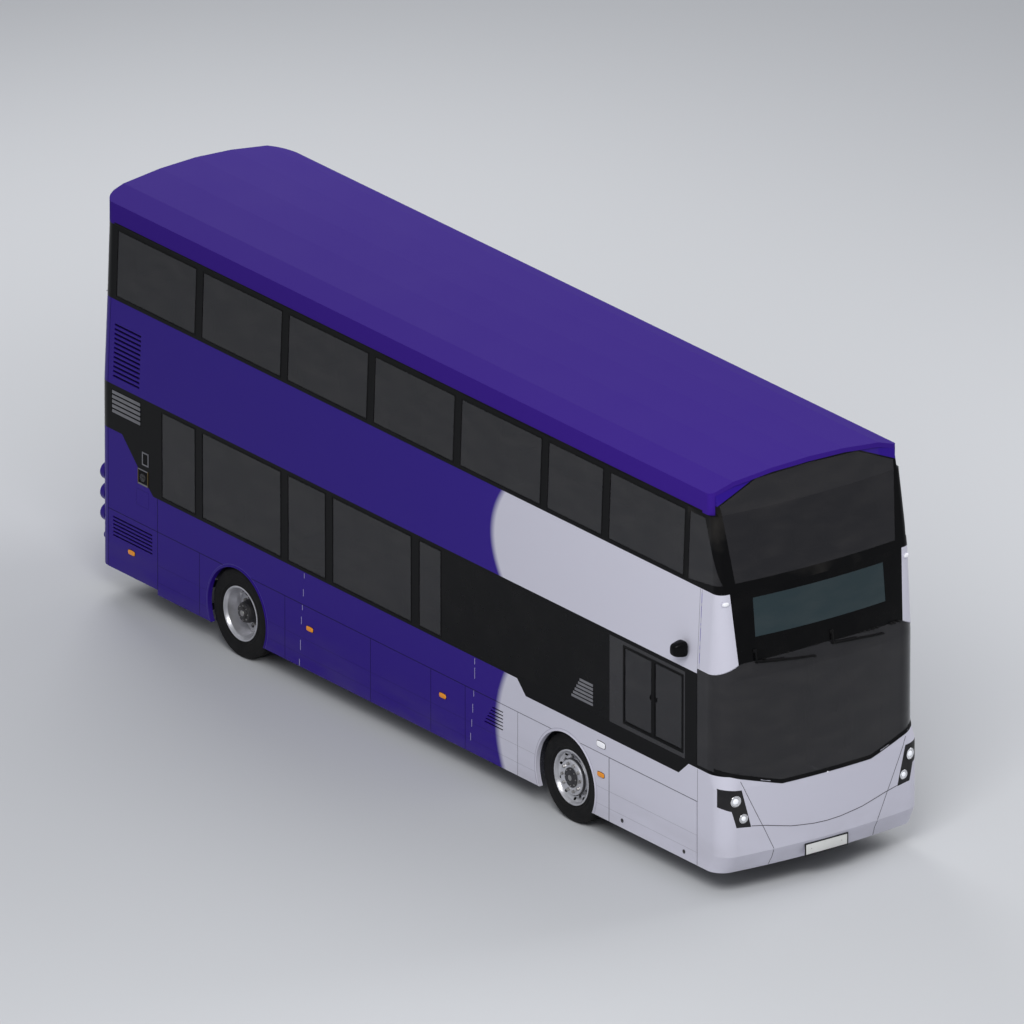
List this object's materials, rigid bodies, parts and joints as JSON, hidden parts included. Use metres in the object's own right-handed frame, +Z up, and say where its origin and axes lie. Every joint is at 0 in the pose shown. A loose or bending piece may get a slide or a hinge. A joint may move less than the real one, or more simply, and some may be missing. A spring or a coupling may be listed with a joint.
{
  "type": "double-deck bus",
  "caption": "Low-floor double-deck city bus with a sliding entrance door, steered front wheels and hollow glazed saloons on both decks.",
  "frame": {"origin": "on the ground under the middle of the bus", "axes": "+Z up, +Y to the rear, +X to the kerb side with the entrance door"},
  "size_m": [2.84, 10.7998, 4.4499],
  "materials": {
    "body_paint": "gloss",
    "pale_paint": "gloss",
    "black_trim": "gloss",
    "tinted_glass": "gloss",
    "tyre_rubber": "matte",
    "wheel_metal": "satin",
    "chassis_metal": "satin",
    "seat_fabric": "matte",
    "interior_plastic": "satin",
    "floor_covering": "matte",
    "handrail_paint": "gloss",
    "lamp_plastic": "gloss",
    "plate_plastic": "gloss",
    "door_paint": "gloss"
  },
  "bodies": {
    "root": {"destination_glass": "tinted_glass", "driver_cab": "interior_plastic", "driver_seat": "seat_fabric", "driver_window_frame": "black_trim", "front_axle": "chassis_metal", "front_corner_mouldings": "pale_paint", "front_display_panel": "black_trim", "front_lower_panel": "pale_paint", "front_upper_frame": "black_trim", "handrails": "handrail_paint", "headlamps": "lamp_plastic", "lower_floor": "floor_covering", "lower_windows": "tinted_glass", "lower_windscreen": "tinted_glass", "marker_lamps": "lamp_plastic", "mirror_pods": "black_trim", "nearside_lower_side": "body_paint", "nearside_mid_panel": "body_paint", "nearside_skirt": "body_paint", "nearside_upper_side": "body_paint", "number_plates": "plate_plastic", "offside_lower_side": "body_paint", "offside_mid_panel": "body_paint", "offside_skirt": "body_paint", "offside_upper_side": "body_paint", "power_unit": "chassis_metal", "rear_axle": "chassis_metal", "rear_lamps": "lamp_plastic", "rear_lower_panel": "body_paint", "rear_upper_panel": "body_paint", "roof": "body_paint", "seat_frames": "interior_plastic", "seat_pads": "seat_fabric", "side_louvres": "black_trim", "staircase": "floor_covering", "staircase_outer_panel": "black_trim", "steering_wheel": "interior_plastic", "underframe": "chassis_metal", "upper_floor": "floor_covering", "upper_windows": "tinted_glass", "upper_windscreen": "tinted_glass", "wipers": "black_trim"},
    "front_offside_wheel": {"front_offside_tyre": "tyre_rubber", "front_offside_rim": "wheel_metal"},
    "front_nearside_wheel": {"front_nearside_tyre": "tyre_rubber", "front_nearside_rim": "wheel_metal"},
    "rear_offside_wheels": {"rear_offside_tyres": "tyre_rubber", "rear_offside_rim": "wheel_metal"},
    "rear_nearside_wheels": {"rear_nearside_tyres": "tyre_rubber", "rear_nearside_rim": "wheel_metal"},
    "offside_steering": {"offside_knuckle": "chassis_metal"},
    "nearside_steering": {"nearside_knuckle": "chassis_metal"},
    "front_door_arm": {"front_door_post": "door_paint"},
    "front_door": {"front_door_leaf": "door_paint", "front_door_glass": "tinted_glass"},
    "rear_door_arm": {"rear_door_post": "door_paint"},
    "rear_door": {"rear_door_leaf": "door_paint", "rear_door_glass": "tinted_glass"},
    "engine_cover": {"engine_hatch": "body_paint"},
    "service_cover": {"offside_service_flap": "pale_paint"}
  },
  "joints": [
    {"name": "offside_steer", "type": "hinge", "parent": "root", "child": "offside_steering", "pos_m": [-0.9325, -2.664, 0.4785], "axis": [0, 0, 1], "range_deg": [-40, 40]},
    {"name": "nearside_steer", "type": "hinge", "parent": "root", "child": "nearside_steering", "pos_m": [0.9325, -2.664, 0.4785], "axis": [0, 0, 1], "range_deg": [-40, 40]},
    {"name": "front_offside_roll", "type": "hinge", "parent": "offside_steering", "child": "front_offside_wheel", "pos_m": [-1.0525, -2.664, 0.4785], "axis": [1, 0, 0], "continuous": true},
    {"name": "front_nearside_roll", "type": "hinge", "parent": "nearside_steering", "child": "front_nearside_wheel", "pos_m": [1.0525, -2.664, 0.4785], "axis": [1, 0, 0], "continuous": true},
    {"name": "rear_offside_roll", "type": "hinge", "parent": "root", "child": "rear_offside_wheels", "pos_m": [-1.0825, 2.955, 0.4785], "axis": [1, 0, 0], "continuous": true},
    {"name": "rear_nearside_roll", "type": "hinge", "parent": "root", "child": "rear_nearside_wheels", "pos_m": [1.0825, 2.955, 0.4785], "axis": [1, 0, 0], "continuous": true},
    {"name": "front_door_swing", "type": "hinge", "parent": "root", "child": "front_door_arm", "pos_m": [1.1665, -4.78, 0.311], "axis": [0, 0, 1], "range_deg": [0, 80]},
    {"name": "front_door_turn", "type": "hinge", "parent": "front_door_arm", "child": "front_door", "pos_m": [1.1665, -4.45, 0.311], "axis": [0, 0, 1], "range_deg": [-160, 0]},
    {"name": "rear_door_swing", "type": "hinge", "parent": "root", "child": "rear_door_arm", "pos_m": [1.1665, -3.46, 0.311], "axis": [0, 0, 1], "range_deg": [-80, 0]},
    {"name": "rear_door_turn", "type": "hinge", "parent": "rear_door_arm", "child": "rear_door", "pos_m": [1.1665, -3.79, 0.311], "axis": [0, 0, 1], "range_deg": [0, 160]},
    {"name": "engine_cover_lift", "type": "hinge", "parent": "root", "child": "engine_cover", "pos_m": [0, 5.383, 1.497], "axis": [1, 0, 0], "range_deg": [0, 70]},
    {"name": "service_cover_lift", "type": "hinge", "parent": "root", "child": "service_cover", "pos_m": [-1.252, -4.133, 0.943], "axis": [0, 1, 0], "range_deg": [0, 80]}
  ],
  "couplings": [
    {"joint": "nearside_steer", "follows": "offside_steer", "ratio": 1},
    {"joint": "front_door_turn", "follows": "front_door_swing", "ratio": -2},
    {"joint": "rear_door_swing", "follows": "front_door_swing", "ratio": -1},
    {"joint": "rear_door_turn", "follows": "front_door_swing", "ratio": 2}
  ]
}
